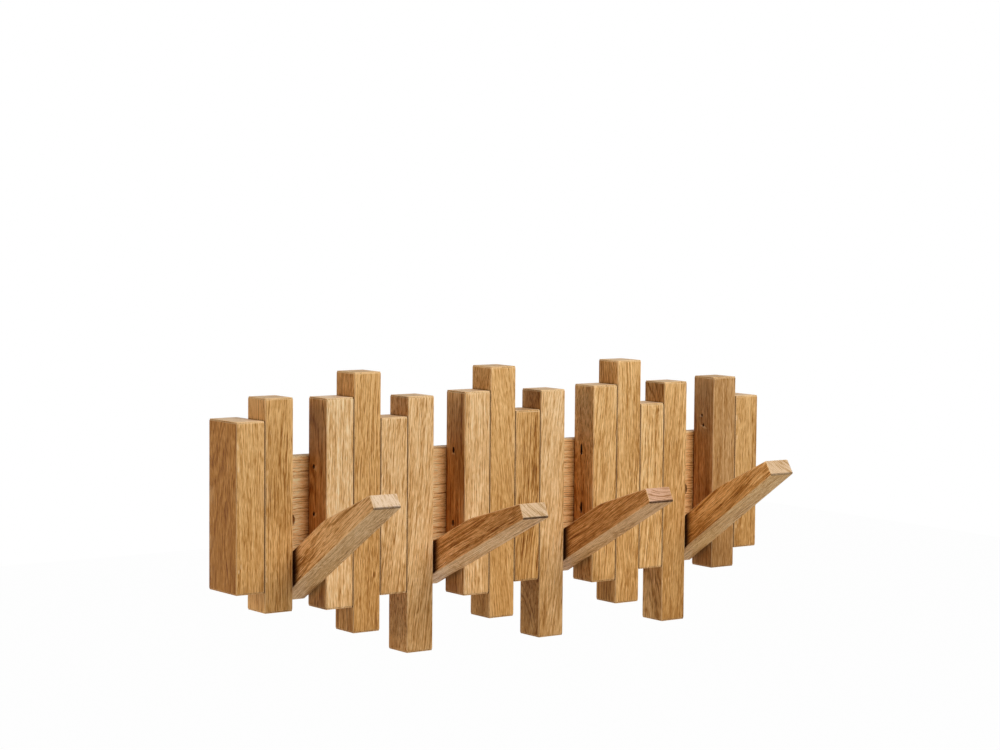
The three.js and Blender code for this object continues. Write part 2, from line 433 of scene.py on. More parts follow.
@dataclass(frozen=True)
class Oak:
    """The oiled oak of one piece: its shade, how it was sawn and what shows in it.

    A stain is a depth for Tone.stained. How much of it is gone 100 mm further up is painted shade
    along the piece, most often darker towards its foot. The side faces get painted shade of their own,
    deeper or paler and changing along them, and a warm tint of painted bounced light, as does the foot.
    The lean of the grain is in degrees, sideways and then to the front or back. A wave is how far the
    grain ripples and how often in a millimetre. How far from its neighbour the wood is darkened by
    painted shade, and how dark, is set for each piece. A dark arris is a place through and along the
    piece and a strength, a bore is a place across and along it and a radius, and a pit is a place
    through and along it, a radius and how many times longer than wide it is. The walls of the bores
    and pits get painted shade.
    """

    tone: Tone
    sawn: Sawn
    seed: int
    lean: tuple[float, float] = (0.0, 0.0)
    stain: float = 0.0
    ring: float = 1.7
    streaks: float = 1.0
    bands: float = 1.0
    fineness: float = 4.6
    clouds: float = 0.5
    flecks: float = 0.4
    end_tone: Tone = Tone.CREAM
    end_rings: float = 0.6
    end_stain: float = 0.0
    side_stain: float = 0.0
    fade: float = 0.6
    side_fade: float = 0.0
    wave: tuple[float, float] = (0.7, 0.045)
    dark_arris: tuple[float, float, float] | None = None
    bores: tuple[tuple[float, float, float], ...] = ()
    pits: tuple[tuple[float, float, float, float], ...] = ()
    crevice: tuple[float, float] = (1.4, 1.0)
    toasted_side: float = 0.8
    toasted_foot: float = 0.4
    bruises: float = 0.0
    knots: tuple[Knot, ...] = ()


class OakTree(MaterialTree):
    """One piece's oak as a material, on the place within the piece in millimetres, Z along it."""

    # How deep a stain each mark is worth on the long faces, and then on the ends.
    year_depth = 2.6
    thread_depth = 4.6
    thread_core_depth = 1.8
    vein_depth = 1.8
    drawn_depth = 0.6
    streak_mean_depth = 1.2
    fibre_depth = 5.8
    pore_depth = 5.0
    fleck_depth = 3.6
    knot_depth = 5.0
    # The next depth is painted shade: more stain where little open sky reaches, in gaps and tight
    # places.
    crack_depth = 4.5
    mean_depth = 1.5
    end_year_depth = 2.8
    end_cloud_depth = 0.4
    end_pore_depth = 2.4
    end_fibre_depth = 3.4
    end_mean_depth = 0.8

    # How fine the veins are, how fast the years' lines change round and along the log, and how large
    # a ray and a patch of rays are round, out from and along it, in millimetres.
    vein_fineness = 5.0
    year_turns = 3.0
    year_runs = 0.006
    ray = (1.1, 2.2, 11.0)
    ray_patch = (9.0, 9.0, 34.0)

    # Each piece's own stretch of the log, how far the grain swells, and how often it ripples across.
    seed_step = 317.0
    swell_size = 7.0
    ripple_across = 0.12

    # The heights over which a stick's foot loses its painted warm bounced light, where a stick's left
    # arris is, and how far from it the dents reach.
    foot_heights = (-95.0, 25.0)
    left_arris = 12.25
    dent_reach = (1.0, 7.5)

    # How much open sky there is where the painted shade of tight places and crevices ends, and how
    # pale a worn edge is rubbed, which also paints a highlight along it.
    sky_samples = 6
    crack_sky = (0.6, 0.98)
    crevice_sky = (0.42, 0.74)
    rubbing = 0.45

    # How far round a knot the grain is pushed aside and the core is dark, in its radii.
    knot_squash = 0.45
    knot_push = (0.3, 4.0)
    knot_core = (0.35, 1.1)

    # How far round the arris its dark line reaches, and the painted shade round a wall screw hole and a
    # nail hole, in millimetres.
    arris_reach = (0.9, 1.7)
    bore_reach = (0.15, 0.6)
    pit_reach = (0.05, 0.35)

    def __init__(self, oak: Oak, name: str, timber: Timber) -> None:
        """Builds the whole material.

        Args:
            oak: What shows in the piece.
            name: The material's name.
            timber: Where the piece lies.
        """
        super().__init__(name)
        self.oak = oak
        lie = {"Location": timber.middle, "Rotation": timber.turn, "Scale": (MM, MM, MM)}
        placing = {"vector_type": "TEXTURE"}
        self.spot = self.node("ShaderNodeMapping", placing, {"Vector": self.place(), **lie})
        self.x, self.y, self.z = self.split(self.spot)
        facing, _, _ = self.split(self.node("ShaderNodeNewGeometry", None, None, "Normal"))
        self.across = abs(facing)
        push, self.core = self._knots()
        self.grain = self._grain(push)
        self.radius, self.angle, self.up_log = self._log()
        turns = self.angle * self.year_turns
        years = self.spread(self.join(self.radius / oak.ring, turns, self.up_log * self.year_runs))
        self.lines = (1 - abs(years) * oak.fineness).most(0.0)
        self.clouds = self._swings(Mark.CLOUD)
        self.fibres = self._marks(Mark.FIBRE)
        self.pores = self._pores()
        self.flecks = self._flecks()
        self._finish()

    def _finish(self) -> None:
        """Stains the wood, paints on it the shade of its crevices and holes, warm bounced light and
        edge highlights, and gives it its relief and sheen.
        """
        oak = self.oak
        # Worn edges are paler, partly from wear and partly as a painted highlight.
        worn = self.attribute(WORN_EDGE)
        # Painted shade: where ambient occlusion finds little open sky, in gaps and tight places, the
        # stain deepens.
        distance = {"Distance": oak.crevice[0] * MM}
        samples = {"samples": self.sky_samples}
        open_sky = self.node("ShaderNodeAmbientOcclusion", samples, distance, "AO")
        cracks = open_sky.fall(*self.crack_sky) * (self.crack_depth * oak.crevice[1])
        long_face = self._stained(oak.tone, oak.stain, self._long_depth() + cracks - worn)
        # Painted warm bounced light: the side faces and the foot are tinted warmer.
        foot = self.z.fall(*self.foot_heights) * oak.toasted_foot
        toasted = (self.across * oak.toasted_side).most(foot)
        side = self.blend(toasted, long_face, self.vector("MULTIPLY", long_face, TOASTED))
        end = self._stained(oak.end_tone, oak.end_stain, self._end_depth())
        wood = self.blend(self.attribute(END_GRAIN), side, end)
        # Rubbed edges and dents turn pale; on the edges this is also a painted highlight.
        rubbed = self.blend((worn * self.rubbing).most(self._bruises()), wood, RUBBED)
        # Painted shade: crevices, hole walls and the dark arris line turn dark brown, and rough enough
        # not to shine.
        crevices = open_sky.fall(*self.crevice_sky) * oak.crevice[1]
        dark = crevices.most(self._arris()).most(self._bored())
        sheen = 0.46 + self.pores * 0.2 + self.fibres * 0.16 - self.flecks * 0.06
        relief = self.fibres * 0.3 - self.pores - self.lines * 0.3 - self.core
        self.dress({
            "Base Color": self.blend(dark, rubbed, CREVICE),
            "Roughness": sheen.most(dark),
            "Normal": self.bump(0.5, 0.2, relief),
            "Specular IOR Level": 0.15,
        })

    def _marks(self, mark: Mark, detail: float = 2.0) -> Wire:
        """Gives smooth noise from 0 to 1 that repeats as often as a mark."""
        return self.noise(self.stretched(self.grain, mark.value), detail)

    def _swings(self, mark: Mark) -> Wire:
        """Gives smooth noise about 0 that repeats as often as a mark."""
        return self.spread(self.stretched(self.grain, mark.value))

    def _stained(self, tone: Tone, stain: float, depth: Wire) -> Wire:
        """Gives a tone of oak under a stain of the piece's own and a depth that varies over it."""
        share = (depth - PALEST) / (DEEPEST - PALEST)
        return self.node("ShaderNodeValToRGB", {"stops": tone.ramp(stain)}, {0: share})

    def _long_depth(self) -> Wire:
        """Works out how deep the long faces are stained, with painted shade on the sides and along
        them.

        Returns:
            The depth.
        """
        oak = self.oak
        threads = self._marks(Mark.THREAD)
        veins = (1 - abs(self._swings(Mark.VEIN)) * self.vein_fineness).most(0.0)
        broken = self._marks(Mark.BREAK, 1.0).rise(0.36, 0.6)
        years = self.lines * (0.25 + broken) * (self.year_depth * oak.bands)
        cores = threads.rise(0.5, 0.64) * self.thread_core_depth
        streaks = (threads - 0.5) * self.thread_depth + cores + veins * (0.3 + broken) * self.vein_depth
        drawn = self._swings(Mark.DRAWN) * self.drawn_depth
        streaks = (streaks - self.streak_mean_depth + drawn) * oak.streaks
        figure = (years + streaks) * (1 + self.across * 0.5)
        clouds = self.clouds * (1 + self.across * 2.0) * oak.clouds
        marks = (self.fibres - 0.5) * self.fibre_depth + self.pores * self.pore_depth
        pale = self.flecks * (self.fleck_depth * oak.flecks) + self.mean_depth
        # Painted shade: the side faces get their own deeper or paler stain, changing along them, and
        # the piece is shaded along its length, most often darker towards its foot.
        side = self.across * (oak.side_stain - self.z * (oak.side_fade / 100.0))
        fade = self.z * (oak.fade / 100.0)
        return figure + clouds + marks - pale + self.core * self.knot_depth + side - fade

    def _end_depth(self) -> Wire:
        """Works out how deep the ends are stained.

        Returns:
            The depth.
        """
        years = self.lines * (self.end_year_depth * self.oak.end_rings)
        vessels = self.pores * self.end_pore_depth + (self.fibres - 0.5) * self.end_fibre_depth
        return years + self.clouds * self.end_cloud_depth + vessels - self.end_mean_depth

    def _bruises(self) -> Wire | float:
        """Marks the small pale dents beside the front's left arris.

        Returns:
            The mask, from 0 to 1.
        """
        if not self.oak.bruises:
            return 0.0
        dents = self.cells(self.stretched(self.spot, Mark.DENT.value))
        chosen, _, _ = self.split(dents.beside("Color"))
        by_arris = (self.x + self.left_arris).fall(*self.dent_reach) * self.across.fall(0.2, 0.8)
        return dents.fall(0.2, 0.36) * chosen.rise(0.4, 0.6) * by_arris * (0.9 * self.oak.bruises)

    def _arris(self) -> Wire | float:
        """Marks the dark line along the arris, where the piece has one.

        Returns:
            The mask, from 0 to 1.
        """
        if not self.oak.dark_arris:
            return 0.0
        through, along_piece, strength = self.oak.dark_arris
        patchy = self.noise(self.stretched(self.spot, Mark.PATCH.value))
        near = self.reach(self.y - through, self.z - along_piece).fall(*self.arris_reach)
        return near * (0.35 + patchy * 1.1).least(0.9) * strength

    def _bored(self) -> Wire | float:
        """Marks the painted shade on the walls of the wall screw holes, at half strength, and of the
        nail holes.

        Returns:
            The mask, from 0 to 1.
        """
        mask: Wire | float = 0.0
        for across, along_piece, radius in self.oak.bores:
            reach = self.reach(self.x - across, self.z - along_piece) - radius
            mask = mask + reach.fall(*self.bore_reach) * 0.5
        for through, along_piece, radius, stretch in self.oak.pits:
            reach = self.reach(self.y - through, (self.z - along_piece) / stretch) - radius
            mask = mask + reach.fall(*self.pit_reach)
        return mask

    def _knots(self) -> tuple[Wire | float, Wire | float]:
        """Works out how far each knot pushes the grain aside, and where its dark core is.

        Returns:
            The push across, in millimetres, and the core's mask.
        """
        push: Wire | float = 0.0
        core: Wire | float = 0.0
        for knot in self.oak.knots:
            across = self.x - knot.across
            reach = self.reach(across, (self.z - knot.along) * self.knot_squash) / knot.radius
            push = push + across.math("SIGN") * reach.fall(*self.knot_push) * (0.9 * knot.radius)
            core = core + reach.fall(*self.knot_core)
        return push, core

    def _grain(self, push: Wire | float) -> Wire:
        """Leans and warps the place within the piece into the place within its log.

        Args:
            push: How far knots push the grain aside.

        Returns:
            The place within the log, in millimetres.
        """
        sideways, to_front = (math.radians(angle) for angle in self.oak.lean)
        ripple_size, ripple_runs = self.oak.wave
        ripple = (self.ripple_across, self.ripple_across, ripple_runs)
        turn = {"Vector": self.spot, "Rotation": (to_front, sideways, 0.0)}
        leant = self.node("ShaderNodeVectorRotate", {"rotation_type": "EULER_XYZ"}, turn)
        shifted = self.vector("ADD", leant, (0.0, 0.0, self.seed_step * self.oak.seed))
        grain = shifted
        bends = ((Mark.SWELL.value, 1.0, self.swell_size), (ripple, 2.0, ripple_size))
        for scale, detail, size in bends:
            bend = self.noise(self.stretched(shifted, scale), detail, "Color")
            bend = self.vector("SUBTRACT", bend, (0.5, 0.5, 0.5))
            grain = self.vector("ADD", grain, self.stretched(bend, (size, size, 0.0)))
        return self.vector("ADD", grain, self.join(push, 0.0, 0.0)) if self.oak.knots else grain

    def _log(self) -> tuple[Wire, Wire, Wire]:
        """Turns the place within the log into one about its pith.

        Returns:
            The distance from the pith, the angle about it, and the place along the log.
        """
        x, y, z = self.split(self.grain)
        pith_x, pith_y = self.oak.sawn.value
        from_x = x - pith_x
        from_y = y - pith_y
        return self.reach(from_x, from_y), from_y.math("ARCTAN2", from_x), z

    def _pores(self) -> Wire:
        """Gives the vessels: short dark dashes along the grain, thickest on the years' lines.

        Returns:
            The mask, from 0 to 1.
        """
        coarse = self.cells(self.stretched(self.grain, Mark.VESSEL.value))
        strength, _, _ = self.split(coarse.beside("Color"))
        dashes = coarse.fall(0.2, 0.34) * strength.rise(0.3, 0.75)
        fine = self._marks(Mark.FINE_VESSEL, 1.0).rise(0.56, 0.7)
        return (dashes * (0.45 + self.lines * 0.55)).most(fine * (0.2 + self.lines * 0.5))

    def _flecks(self) -> Wire:
        """Gives the rays, which show in patches as pale flecks on a face that runs out from the pith.

        Returns:
            The mask, from 0 to 1.
        """
        pith = math.hypot(*self.oak.sawn.value)
        rays, patches = (
            self.join(self.angle * (pith / about), self.radius / outward, self.up_log / along_log)
            for about, outward, along_log in (self.ray, self.ray_patch)
        )
        return self.cells(rays).fall(0.1, 0.3) * self.noise(patches, 1.0).rise(0.5, 0.68)


@dataclass(frozen=True)
class Metal:
    """A bare or plated metal, with fine marks from its making and a dull stain in patches."""

    name: str
    colour: Colour
    roughness: float
    scratch: float = 0.1
    metallic: float = 1.0
    marks: Point = (900.0, 5200.0, 900.0)
    patches: Point = (160.0, 160.0, 160.0)
    dulling: float = 0.72

    def material(self) -> bpy.types.Material:
        """Builds the metal.

        Returns:
            The material.
        """
        tree = MaterialTree(self.name)
        marks = tree.noise(tree.stretched(tree.place(), self.marks), 3.0)
        stain = tree.noise(tree.stretched(tree.place(), self.patches)).rise(0.35, 0.7)
        dull = tuple(self.dulling * part for part in self.colour)
        return tree.dress({
            "Base Color": tree.blend(stain * 0.5, self.colour, dull),
            "Metallic": self.metallic,
            "Roughness": self.roughness + marks * self.scratch,
            "Normal": tree.bump(0.2, 0.05, marks),
        })


@dataclass(frozen=True)
class Moulded:
    """A moulded plastic with a faint grain, which is paler where it stands up."""

    name: str
    colour: Colour
    roughness: float
    grain: Point = (2600.0, 2600.0, 2600.0)
    paleness: float = 1.6

    def material(self) -> bpy.types.Material:
        """Builds the plastic.

        Returns:
            The material.
        """
        tree = MaterialTree(self.name)
        grain = tree.noise(tree.stretched(tree.place(), self.grain))
        pale = tuple(self.paleness * part for part in self.colour)
        return tree.dress({
            "Base Color": tree.blend(grain.rise(0.4, 0.7) * 0.5, self.colour, pale),
            "Roughness": self.roughness + grain * 0.15,
            "Normal": tree.bump(0.25, 0.05, grain),
        })


@dataclass(frozen=True)
class Beech:
    """The unfinished beech of the dowels, whose grain runs along the row."""

    name: str = "raw_beech"
    pale: Colour = shade(224, 190, 148)
    deep: Colour = shade(205, 165, 120)
    speck: Colour = shade(160, 112, 74)
    fibres: Point = (90.0, 1900.0, 1900.0)
    specks: Point = (420.0, 2400.0, 2400.0)

    def material(self) -> bpy.types.Material:
        """Builds the beech.

        Returns:
            The material.
        """
        tree = MaterialTree(self.name)
        fibres = tree.noise(tree.stretched(tree.place(), self.fibres), 3.0)
        specks = tree.cells(tree.stretched(tree.place(), self.specks)).fall(0.12, 0.3)
        wood = tree.blend(fibres.rise(0.3, 0.7), self.pale, self.deep)
        return tree.dress({
            "Base Color": tree.blend(specks * 0.5, wood, self.speck),
            "Roughness": 0.68 + fibres * 0.1,
        })


class GeometryTree(Graph):
    """A Geometry Nodes tree with named inputs, whose modifiers are set by socket identifier."""

    def __init__(self, name: str, inputs: dict[str, str]) -> None:
        """Makes the tree.

        Args:
            name: The tree's name.
            inputs: Each input's name and socket type.
        """
        tree = bpy.data.node_groups.new(name, "GeometryNodeTree")
        super().__init__(tree)
        tree.interface.new_socket("Geometry", in_out="OUTPUT", socket_type="NodeSocketGeometry")
        tree.interface.new_socket("Geometry", in_out="INPUT", socket_type="NodeSocketGeometry")
        self.identifiers = {
            label: tree.interface.new_socket(label, in_out="INPUT", socket_type=kind).identifier
            for label, kind in inputs.items()
        }
        self._given = self.node("NodeGroupInput")

    def given(self, name: str) -> Wire:
        """Gives one of the tree's inputs."""
        return self._given.beside(name)

    def end(self, geometry: Wire) -> None:
        """Ends the tree: makes the instances real and gives them the Finish.

        Args:
            geometry: What the tree has made.
        """
        real = self.node("GeometryNodeRealizeInstances", None, {0: geometry})
        smooth = self.node("GeometryNodeSetShadeSmooth", None, {"Geometry": real})
        finish = self.given("Finish")
        dressed = self.node("GeometryNodeSetMaterial", None, {0: smooth, "Material": finish})
        self.node("NodeGroupOutput", None, {0: dressed})

    def put_on(self, piece: bpy.types.Object, values: dict[str, object]) -> None:
        """Adds the tree to a piece as a modifier.

        Args:
            piece: The piece's object.
            values: A value for each of the tree's inputs.
        """
        modifier = piece.modifiers.new(self.tree.name, "NODES")
        modifier.node_group = self.tree
        for name, value in values.items():
            modifier[self.identifiers[name]] = value


class PlanedBar(GeometryTree):
    """Makes a planed bar with softly rounded edges, which wear makes a little rounder in places."""

    # How many steps there are across and along the bar and over each rounding, and how often in a
    # metre the wear changes.
    across_steps = 12
    along_steps = 56
    edge_steps = 4
    wear_scale = 45.0

    def __init__(self) -> None:
        """Builds the tree."""
        super().__init__(
            "planed_bar",
            {
                "Half Size": "NodeSocketVector",
                "Middle": "NodeSocketVector",
                "Edge Radius": "NodeSocketFloat",
                "End Radius": "NodeSocketFloat",
                "Wear": "NodeSocketFloat",
                "Seed": "NodeSocketFloat",
                "Finish": "NodeSocketMaterial",
            },
        )
        steps = (self.across_steps, self.across_steps, self.along_steps)
        counts = {f"Vertices {axis}": count + 1 for axis, count in zip("XYZ", steps)}
        block = self.node("GeometryNodeMeshCube", None, {"Size": (2.0, 2.0, 2.0), **counts})
        radius = self.given("Edge Radius")
        roundings = (radius, radius, self.given("End Radius"))
        start = self.split(self.node("GeometryNodeInputPosition"))
        half = self.split(self.given("Half Size"))
        inner, turned_out = [], []
        for share, reach, rounding, count in zip(start, half, roundings, steps):
            flat_share = 1 - 2 * self.edge_steps / count
            size = abs(share)
            turn = ((size - flat_share) / (1 - flat_share)).most(0.0) * (math.pi / 4)
            side = share.math("SIGN")
            inner.append(side * (size / flat_share).least(1.0) * (reach - rounding))
            turned_out.append(side * turn.math("TANGENT"))
        core = self.join(*inner)
        outward = self.vector("NORMALIZE", self.join(*turned_out))
        facing = [abs(part) for part in self.split(outward)]
        corner = (1 - facing[0].most(facing[1]).most(facing[2])) / (1 - math.sqrt(0.5))
        seed = self.join(self.given("Seed"), 0.0, 0.0)
        along_edge = self.vector("ADD", self.scaled(core, self.wear_scale), seed)
        rubbed = 1 - corner * self.noise(along_edge) * self.given("Wear")
        skin = self.scaled(self.vector("MULTIPLY", outward, self.join(*roundings)), rubbed)
        place = self.vector("ADD", self.vector("ADD", core, skin), self.given("Middle"))
        moved = self.node("GeometryNodeSetPosition", None, {"Geometry": block, "Position": place})
        self.end(moved)


class SetOnPoints(GeometryTree):
    """Sets a copy of a fixing on each point."""

    def __init__(self) -> None:
        """Builds the tree."""
        super().__init__("set_on_points", {"Piece": "NodeSocketObject", "Finish": "NodeSocketMaterial"})
        points = self.node("GeometryNodeMeshToPoints", None, {0: self.given("Geometry")})
        piece = self.node("GeometryNodeObjectInfo", None, {"Object": self.given("Piece")}, "Geometry")
        self.end(self.node("GeometryNodeInstanceOnPoints", None, {"Points": points, "Instance": piece}))


def mesh_object(name: str, mesh: bpy.types.Mesh) -> bpy.types.Object:
    """Puts a mesh into the scene as an object at the origin.

    Args:
        name: The object's name.
        mesh: Its mesh.

    Returns:
        The object.
    """
    piece = bpy.data.objects.new(name, mesh)
    bpy.context.scene.collection.objects.link(piece)
    return piece


def mesh_from(name: str, shape: bmesh.types.BMesh) -> bpy.types.Mesh:
    """Turns mesh code's result into a mesh with its faces pointing outwards.

    Args:
        name: The mesh's name.
        shape: The closed shape, which is freed.

    Returns:
        The mesh.
    """
    bmesh.ops.remove_doubles(shape, verts=shape.verts, dist=SAME_PLACE)
    bmesh.ops.recalc_face_normals(shape, faces=shape.faces)
    mesh = bpy.data.meshes.new(name)
    shape.to_mesh(mesh)
    shape.free()
    mesh.shade_smooth()
    return mesh


def turned(shape: bmesh.types.BMesh, profile: Profile, place: Matrix, sides: int) -> None:
    """Adds a turned solid.

    Args:
        shape: The mesh code that it goes into.
        profile: Radii and heights, in millimetres, from one end to the other.
        place: Where the solid's axis, its Z, goes.
        sides: How many sides it has.
    """
    rings = []
    for radius, height in profile:
        if radius == 0:
            rings.append([shape.verts.new(place @ Vector((0.0, 0.0, height * MM)))])
            continue
        ring = []
        for side in range(sides):
            angle = 2 * math.pi * side / sides
            at = Vector((radius * math.cos(angle), radius * math.sin(angle), height)) * MM
            ring.append(shape.verts.new(place @ at))
        rings.append(ring)
    for lower, upper in zip(rings, rings[1:]):
        for side in range(sides):
            after = (side + 1) % sides
            corners = [
                lower[side % len(lower)],
                lower[after % len(lower)],
                upper[after % len(upper)],
                upper[side % len(upper)],
            ]
            distinct = list(dict.fromkeys(corners))
            if len(distinct) > 2:
                shape.faces.new(distinct)


def along(axis: str, at: Point) -> Matrix:
    """Gives the placing of a turned solid whose axis runs along X or Y, at a point in metres."""
    turns = {"X": Matrix.Rotation(math.pi / 2, 4, "Y"), "Y": Matrix.Rotation(-math.pi / 2, 4, "X")}
    return Matrix.Translation(at) @ turns[axis]


def turned_mesh(name: str, profile: Profile, axis: str, sides: int) -> bpy.types.Mesh:
    """Makes a mesh of one turned solid about the origin.

    Args:
        name: The mesh's name.
        profile: Radii and heights, in millimetres, from one end to the other.
        axis: The axis that it is turned about, X or Y.
        sides: How many sides it has.

    Returns:
        The mesh.
    """
    shape = bmesh.new()
    turned(shape, profile, along(axis, ORIGIN), sides)
    return mesh_from(name, shape)


def rod(radius: float, start: float, end: float) -> Profile:
    """Gives the profile of a plain rod from a start to an end."""
    return [(0.0, start), (radius, start), (radius, end), (0.0, end)]


def half_length(node: str, axis: int) -> float:
    """Gives half of a node's length along an axis, in millimetres."""
    low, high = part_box(node)
    return (high[axis] - low[axis]) / 2 / MM


def share_between(value: float, low: float, high: float) -> float:
    """Gives how far a value is from low, at 0, to high, at 1."""
    return min(max((value - low) / (high - low), 0.0), 1.0)


class Workshop:
    """Turns pieces into finished meshes, names them, dresses them and hands them to the frame."""

    smooth_angle = math.radians(35)

    # The turns between which an edge looks more and more worn and carries more painted highlight, and
    # how an upright stick's top rim faces up and is worn and highlighted.
    worn_turns = (math.radians(15.5), math.radians(20))
    rim_facing = (0.25, 0.93)
    rim_wear = 2.0
    upright = 0.99

    # How an end's face points along the grain, and how far from the end it may be.
    end_facing = (0.5, 0.85)
    end_reach = 14.0 * MM

    def __init__(self) -> None:
        """Builds the geometry trees that the pieces share."""
        self.planed_bar = PlanedBar()
        self.set_on_points = SetOnPoints()

    def cut(self, piece: bpy.types.Object, cutters: bmesh.types.BMesh) -> None:
        """Cuts holes into a piece.

        Args:
            piece: The piece.
            cutters: Closed solids that don't touch each other.
        """
        tool = mesh_object(piece.name + "_cutter", mesh_from("cutter", cutters))
        modifier = piece.modifiers.new("holes", "BOOLEAN")
        modifier.operation = "DIFFERENCE"
        modifier.solver = "EXACT"
        modifier.object = tool
        self.settle(piece)
        bpy.data.objects.remove(tool)

    def settle(self, piece: bpy.types.Object) -> None:
        """Replaces a piece's live modifiers by the plain mesh that they make.

        Args:
            piece: The piece.
        """
        ready = piece.evaluated_get(bpy.context.evaluated_depsgraph_get())
        mesh = bpy.data.meshes.new_from_object(ready)
        piece.modifiers.clear()
        piece.data = mesh

    def finish(
        self,
        piece: bpy.types.Object,
        body: str,
        slot: str,
        nodes: list[str],
        finish: bpy.types.Material,
        timber: Timber | None = None,
    ) -> None:
        """Dresses a piece and hands it to the frame.

        Args:
            piece: The piece, whose modifiers are settled.
            body: The body that it moves with.
            slot: The record's slot for its finish; not used.
            nodes: The nodes that it stands for.
            finish: Its material.
            timber: How its grain lies, where it is one stick of wood.
        """
        mesh = piece.data
        if timber:
            self._mark_edges(mesh, timber.grain)
            self._mark_ends(mesh, timber.grain)
        mesh.shade_smooth()
        mesh.set_sharp_from_angle(angle=self.smooth_angle)
        mesh.materials.clear()
        mesh.materials.append(finish)
        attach(piece, body)
        if nodes:
            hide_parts(*nodes)
        LOG.info("%s: %d faces, on %s", piece.name, len(mesh.polygons), body)

    def _mark_edges(self, mesh: bpy.types.Mesh, grain: Vector) -> None:
        """Marks the rounded edges, paler from wear and a painted highlight, most of all at the sticks'
        tops.

        Args:
            mesh: The piece's mesh.
            grain: The direction of its grain.
        """
        low, high = self.rim_facing if grain.z > self.upright else (1.0, 0.0)
        shape = bmesh.new()
        shape.from_mesh(mesh)
        worn = []
        for vertex in shape.verts:
            turns = [edge.calc_face_angle(0.0) for edge in vertex.link_edges if edge.is_convex]
            turn = max((turn for turn in turns if turn < self.smooth_angle), default=0.0)
            wear = share_between(turn, *self.worn_turns)
            worn.append(self.rim_wear if low < vertex.normal.dot(grain) < high else wear)
        shape.free()
        mesh.attributes.new(WORN_EDGE, "FLOAT", "POINT").data.foreach_set("value", worn)

    def _mark_ends(self, mesh: bpy.types.Mesh, grain: Vector) -> None:
        """Marks the faces near the ends that cut across the grain.

        Args:
            mesh: The piece's mesh.
            grain: The direction of its grain.
        """
        places = [vertex.co.dot(grain) for vertex in mesh.vertices]
        foot, head = min(places), max(places)
        ends = []
        for face in mesh.polygons:
            facing = share_between(abs(face.normal.dot(grain)), *self.end_facing)
            place = face.center.dot(grain)
            ends.append(facing if min(place - foot, head - place) < self.end_reach else 0.0)
        mesh.attributes.new(END_GRAIN, "FLOAT", "FACE").data.foreach_set("value", ends)


@dataclass
class Planed:
    """A planed piece of oak with softly rounded edges, which fills its node's box."""

    node: str
    oak: Oak
    edge_radius: float = 0.65
    end_radius: float = 1.7
    wear: float = 0.9

    def plane(
        self,
        shop: Workshop,
        oak: Oak,
        turn: Euler,
    ) -> tuple[bpy.types.Object, bpy.types.Material, Timber]:
        """Planes the piece.

        Args:
            shop: The workshop.
            oak: The piece's oak, with the marks of its holes.
            turn: The grain's turn from upright.

        Returns:
            The piece, its material, and how its grain lies.
        """
        low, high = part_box(self.node)
        timber = Timber((low + high) / 2, turn)
        piece = mesh_object(self.node + "_planed", bpy.data.meshes.new(self.node))
        material = OakTree(oak, self.node + "_oak", timber).material
        shop.planed_bar.put_on(piece, {
            "Half Size": (high - low) / 2,
            "Middle": timber.middle,
            "Edge Radius": self.edge_radius * MM,
            "End Radius": self.end_radius * MM,
            "Wear": self.wear,
            "Seed": float(oak.seed),
            "Finish": material,
        })
        shop.settle(piece)
        return piece, material, timber


@dataclass
class Stick(Planed):
    """One upright stick of the row. Its brads are small nail holes in its left face, by Y and Z."""

    brads: tuple[tuple[float, float], ...] = ()
    brad_radius: float = 1.1
    brad_stretch: float = 1.5
    brad_slant: float = 0.0
    brad_depth: float = 2.2
    # The painted shade round the nail holes: how far it reaches, and how dark.
    brad_crevice: tuple[float, float] = (2.5, 1.0)
    brad_sides: int = 12

    def build(self, shop: Workshop) -> bpy.types.Object:
        """Makes the stick and dresses it.

        Args:
            shop: The workshop.

        Returns:
            The stick.
        """
        low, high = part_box(self.node)
        middle = (low + high) / 2
        oak = self.oak
        if self.brads:
            places = [(y - middle.y / MM, z - middle.z / MM) for y, z in self.brads]
            pits = tuple((*place, self.brad_radius, self.brad_stretch) for place in places)
            oak = replace(oak, pits=pits, crevice=self.brad_crevice)
        piece, material, timber = self.plane(shop, oak, Euler(ORIGIN))
        if self.brads:
            shop.cut(piece, self._brad_holes(low.x))
        shop.finish(piece, "row", "oak_stick", [self.node], material, timber)
        return piece

    def _brad_holes(self, face: float) -> bmesh.types.BMesh:
        """Makes the cutters of the small nail holes, longer than wide and some of them slanting.

        Args:
            face: The left face's X, in metres.

        Returns:
            The cutters.
        """
        holes = bmesh.new()
        profile = rod(self.brad_radius, -1.0, self.brad_depth)
        for y, z in self.brads:
            start = len(holes.verts)
            turned(holes, profile, along("X", (face, y * MM, z * MM)), self.brad_sides)
            holes.verts.ensure_lookup_table()
            for vertex in holes.verts[start:]:
                above = (vertex.co.z - z * MM) * self.brad_stretch
                vertex.co.z = z * MM + above
                vertex.co.y += above * self.brad_slant
        return holes


